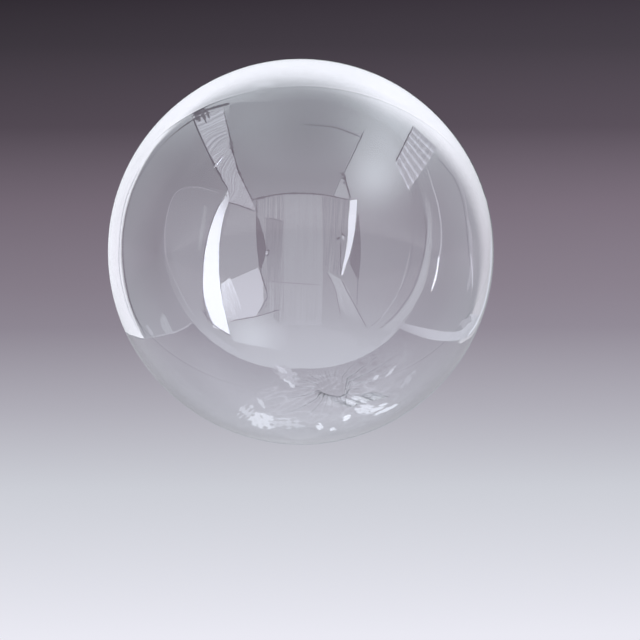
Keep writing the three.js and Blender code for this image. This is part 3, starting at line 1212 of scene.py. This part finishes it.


# Painted glints: sheets of light that the front of the film mirrors where the film is bunched low
# behind, standing in for its glints. Each has a middle and a half length and half width in the
# picture, a turn from level, and what it adds to the picture there.
glints = {
    "patch": {"middle": (262, 421), "reach": (18, 9.5), "turn": -12, "shown": 0.27, "ragged": 0.35},
    "patchTail": {"middle": (287, 424), "reach": (20, 6), "turn": -8, "shown": 0.13, "ragged": 0.8},
    "patchSpray": {"middle": (245, 412), "reach": (10, 7), "turn": 40, "shown": 0.15, "ragged": 0.9},
    "hook": {"middle": (260, 403), "reach": (8, 2.6), "turn": -58, "shown": 0.16},
    "tuft": {"middle": (286, 374), "reach": (17, 8), "turn": -32, "shown": 0.09, "ragged": 0.5},
    "tuftTip": {"middle": (289, 383), "reach": (8, 3), "turn": -38, "shown": 0.23, "ragged": 0.8},
    "tuftTop": {"middle": (280, 369), "reach": (9, 3), "turn": -30, "shown": 0.20, "ragged": 0.9},
    "bird": {"middle": (366, 410), "reach": (12, 6), "turn": -2, "shown": 0.30, "ragged": 0.4},
    "birdTail": {"middle": (380, 408), "reach": (11, 2.4), "turn": 26, "shown": 0.36},
    "streak": {"middle": (386, 410.5), "reach": (16, 2.0), "turn": 25, "shown": 0.36, "ragged": 0.2},
    "bead": {"middle": (347, 418.5), "reach": (5.5, 2.6), "turn": 32, "shown": 0.44},
    "lowBead": {"middle": (320, 427), "reach": (4.5, 4), "turn": -30, "shown": 0.34},
    "lastBead": {"middle": (334, 430), "reach": (4.5, 2), "turn": 10, "shown": 0.35},
    "speck": {"middle": (375, 378.5), "reach": (6, 2), "turn": 32, "shown": 0.22},
    "upperStreak": {"middle": (391, 372), "reach": (9, 1.5), "turn": 48, "shown": 0.20},
    "node": {"middle": (409, 380), "reach": (15, 3.4), "turn": 50, "shown": 0.09, "ragged": 0.5},
    "nodeCord": {"middle": (405.5, 357), "reach": (20, 1.4), "turn": 88, "shown": 0.035, "ragged": 0.2},
    "bandKnot": {"middle": (466, 322), "reach": (9, 5), "turn": 50, "shown": 0.16, "ragged": 0.5},
}

# How the glints stand and fray, and how much of the paper's mirror image shows on through them.
glintLook = {
    "distance": 1.43,
    "gap": 0.004,
    "ragged": 0.5,
    "raggedLength": 3.2,
    "stretch": 2.5,
    "softEdge": 0.45,
    "fadeEdge": 0.12,
    "paperShare": 0.45,
}

# Painted fold highlights between them: broad and narrow ridges of pale light, over the paper's
# mirror image, that the front of the film mirrors over its crumpled part.
foldGleamLook = {
    "distance": 1.45,
    "middle": (328, 398),
    "reach": (92, 36),
    "turn": 24,
    "length": 9.0,
    "fineLength": 4.0,
    "stretch": 2.6,
    "ridgeWidth": 0.5,
    "fadeFrom": 0.61,        # shares of the ball's radius over which they fade in
    "fadeTo": 0.66,
    "cover": 0.8,
    "broadShare": 0.7,
    "fineShare": 0.3,
    "shown": 0.16,
    "paperShare": 0.6,
}


def makeGlints():
    # Painted glints: small ragged sheets of light that the front of the film mirrors over its crumpled
    # part, in place of what the crumples send back: ellipses whose cover falls towards their edge,
    # frayed by ripples drawn out along them.
    k = glintLook
    grid = np.linspace(-1, 1, 41)
    u, v = np.meshgrid(grid, grid)
    for i, (name, g) in enumerate(glints.items()):
        a = np.radians(g["turn"])
        long, wide = u * g["reach"][0], v * g["reach"][1]
        column = long * np.cos(a) + wide * np.sin(a)
        row = -long * np.sin(a) + wide * np.cos(a)
        pixels = np.array(g["middle"]) + np.stack([column, row], -1)
        fraying = flatRipples(pixels, k["raggedLength"], g["turn"], k["stretch"], 11 + i)
        ragged = g.get("ragged", k["ragged"]) * fraying
        body = 1 - np.hypot(u, v) ** 1.3
        cover = smoothstep(body + ragged * np.minimum(1, 3 * np.maximum(body, 0)), 0.0, k["softEdge"])
        cover *= smoothstep(body, 0.0, k["fadeEdge"])
        shown = g["shown"] + k["paperShare"] * mirrorShare(pixels)
        standPane("glint_" + name, pixels, k["distance"] - k["gap"] * i, shown, cover)
    print("glints set:", len(glints))


def makeFoldGleams():
    # One sheet of painted fold highlights over the whole crumpled part: pale light along the ridges of
    # two drawn out ripples, mirrored by the front of the film.
    f = foldGleamLook
    u, v = np.meshgrid(np.linspace(-1, 1, 181), np.linspace(-1, 1, 91))
    pixels = np.array(f["middle"]) + np.stack([u * f["reach"][0], v * f["reach"][1]], -1)

    def ridges(length, seed):
        waves = flatRipples(pixels, length, f["turn"], f["stretch"], seed)
        return np.maximum(1 - np.abs(waves) / f["ridgeWidth"], 0) ** 2

    body = smoothstep(1 - np.hypot(u, v), 0.0, 0.5)
    body = body * smoothstep(discShare(pixels), f["fadeFrom"], f["fadeTo"])
    folds = f["broadShare"] * ridges(f["length"], 31) + f["fineShare"] * ridges(f["fineLength"], 32)
    shown = f["shown"] + f["paperShare"] * mirrorShare(pixels)
    # the sheet named folds is painted light along the ridges, not a fold in the film
    standPane("folds", pixels, f["distance"], shown, f["cover"] * body * folds)
    print("folds set")


makeFloor()
makeSky()
makeRoom()
makePanes()
makeEdges()
makeHalo()
makeCeiling()
makePaper()
makeGlints()
makeFoldGleams()
